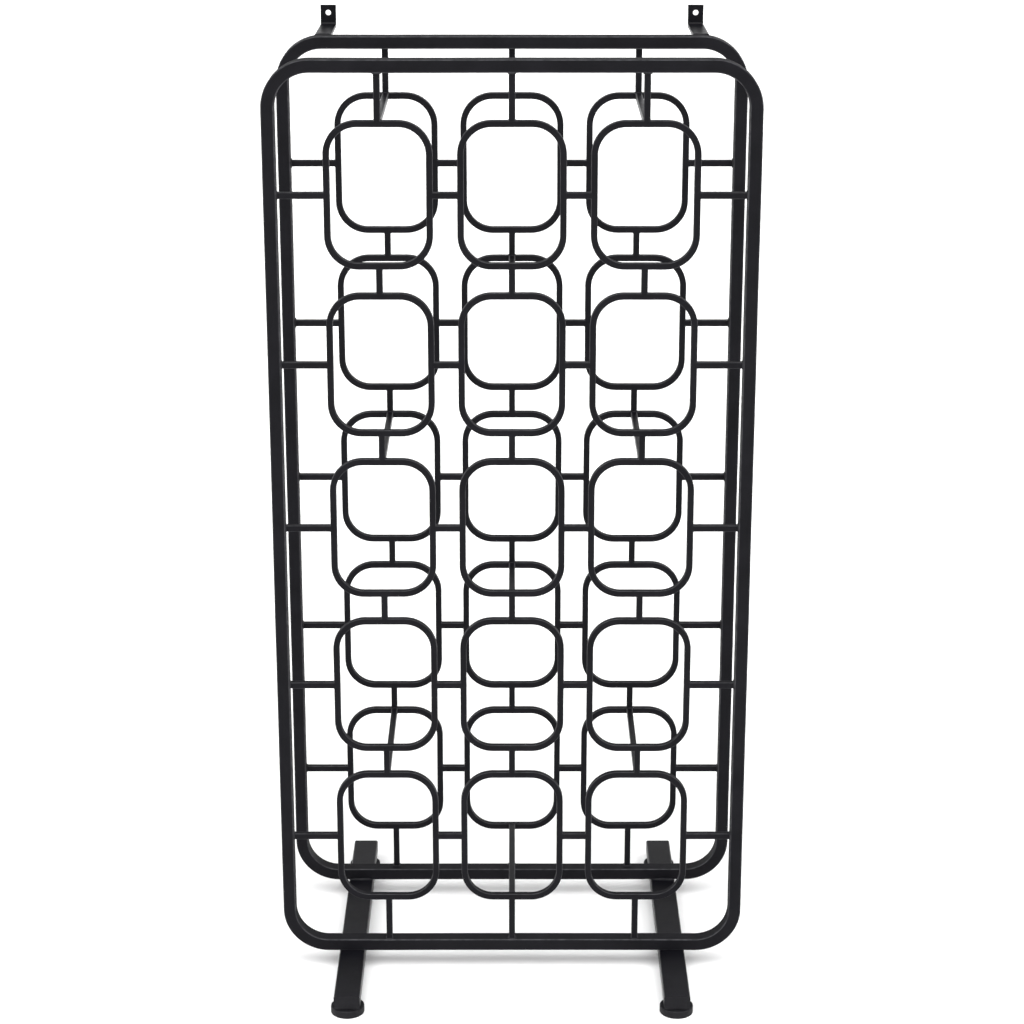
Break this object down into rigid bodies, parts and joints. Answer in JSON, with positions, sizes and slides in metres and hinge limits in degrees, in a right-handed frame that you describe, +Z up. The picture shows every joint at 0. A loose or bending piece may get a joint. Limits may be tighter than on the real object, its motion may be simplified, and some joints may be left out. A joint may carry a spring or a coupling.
{
  "type": "wine rack",
  "caption": "Tall free-standing wine rack of black steel bar: two rounded frames hold facing grids of rounded loops, on two long legs with round feet and two wall brackets.",
  "frame": {"origin": "on the floor, under the middle of the rack's width and depth", "axes": "+Z up; the bottles go in from -Y, the front, and +Y points to the wall; +X to the right seen from the front"},
  "size_m": [0.45, 0.356, 0.9175],
  "materials": {
    "black_steel": "satin black powder coat",
    "black_plastic": "matte moulded black",
    "zinc_steel": "bright zinc plate"
  },
  "bodies": {
    "rack": {"front_frame": "black_steel", "back_frame": "black_steel", "front_loop_r1c1": "black_steel", "front_loop_r1c2": "black_steel", "front_loop_r1c3": "black_steel", "front_loop_r2c1": "black_steel", "front_loop_r2c2": "black_steel", "front_loop_r2c3": "black_steel", "front_loop_r3c1": "black_steel", "front_loop_r3c2": "black_steel", "front_loop_r3c3": "black_steel", "front_loop_r4c1": "black_steel", "front_loop_r4c2": "black_steel", "front_loop_r4c3": "black_steel", "front_loop_r5c1": "black_steel", "front_loop_r5c2": "black_steel", "front_loop_r5c3": "black_steel", "back_loop_r1c1": "black_steel", "back_loop_r1c2": "black_steel", "back_loop_r1c3": "black_steel", "back_loop_r2c1": "black_steel", "back_loop_r2c2": "black_steel", "back_loop_r2c3": "black_steel", "back_loop_r3c1": "black_steel", "back_loop_r3c2": "black_steel", "back_loop_r3c3": "black_steel", "back_loop_r4c1": "black_steel", "back_loop_r4c2": "black_steel", "back_loop_r4c3": "black_steel", "back_loop_r5c1": "black_steel", "back_loop_r5c2": "black_steel", "back_loop_r5c3": "black_steel", "front_row_links": "black_steel", "back_row_links": "black_steel", "front_column_links": "black_steel", "back_column_links": "black_steel", "tie_r1_left": "black_steel", "tie_r1_right": "black_steel", "tie_r3_left": "black_steel", "tie_r3_right": "black_steel", "tie_r5_left": "black_steel", "tie_r5_right": "black_steel", "tie_r2_middle": "black_steel", "tie_r4_middle": "black_steel", "tie_bottom_middle": "black_steel", "left_leg": "black_steel", "right_leg": "black_steel", "leg_end_plugs": "black_plastic", "foot_bushes": "zinc_steel", "left_wall_bracket": "black_steel", "right_wall_bracket": "black_steel"},
    "front_left_foot": {"front_left_foot_pad": "black_plastic", "front_left_foot_stud": "zinc_steel"},
    "front_right_foot": {"front_right_foot_pad": "black_plastic", "front_right_foot_stud": "zinc_steel"},
    "rear_left_foot": {"rear_left_foot_pad": "black_plastic", "rear_left_foot_stud": "zinc_steel"},
    "rear_right_foot": {"rear_right_foot_pad": "black_plastic", "rear_right_foot_stud": "zinc_steel"}
  },
  "joints": [
    {"name": "front_left_foot_height", "type": "slide", "parent": "rack", "child": "front_left_foot", "axis": [0, 0, -1], "range_m": [0, 0.006]},
    {"name": "front_right_foot_height", "type": "slide", "parent": "rack", "child": "front_right_foot", "axis": [0, 0, -1], "range_m": [0, 0.006]},
    {"name": "rear_left_foot_height", "type": "slide", "parent": "rack", "child": "rear_left_foot", "axis": [0, 0, -1], "range_m": [0, 0.006]},
    {"name": "rear_right_foot_height", "type": "slide", "parent": "rack", "child": "rear_right_foot", "axis": [0, 0, -1], "range_m": [0, 0.006]}
  ]
}
